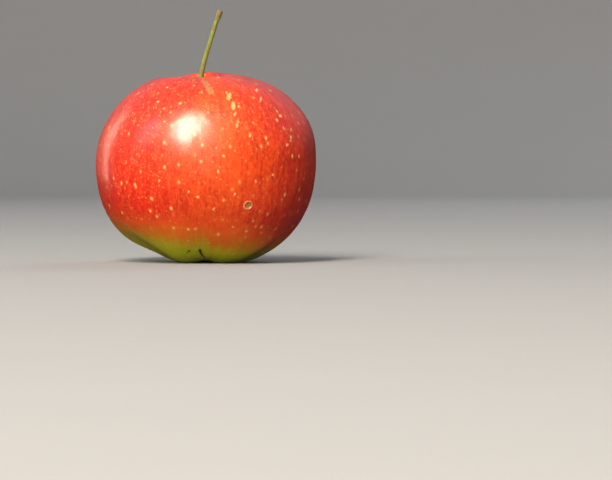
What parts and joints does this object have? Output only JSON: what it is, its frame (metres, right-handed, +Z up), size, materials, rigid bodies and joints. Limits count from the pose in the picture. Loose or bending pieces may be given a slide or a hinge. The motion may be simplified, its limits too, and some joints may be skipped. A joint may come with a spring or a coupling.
{
  "type": "red apple",
  "caption": "Ripe red apple, round and softly lobed, with a leaning woody stalk in its cavity and a dried calyx under the base, standing upright.",
  "frame": {"origin": "on the ground, under the middle of the whole part's bounding box", "axes": "+Z up along the core from the calyx to the stalk; -Y is the front; the stalk leans towards +X"},
  "size_m": [0.076, 0.0742, 0.0872],
  "materials": {
    "skin": "waxy red apple skin streaked with orange, yellow-green towards the base, dotted with pale lenticels",
    "stalk": "matt green-brown woody stalk",
    "calyx": "dry, downy, papery brown sepals",
    "stamens": "dry dark brown threads"
  },
  "bodies": {
    "root": {"fruit": "skin", "stalk": "stalk", "stamens": "stamens", "sepal_1": "calyx", "sepal_2": "calyx", "sepal_3": "calyx", "sepal_4": "calyx", "sepal_5": "calyx"}
  },
  "joints": []
}
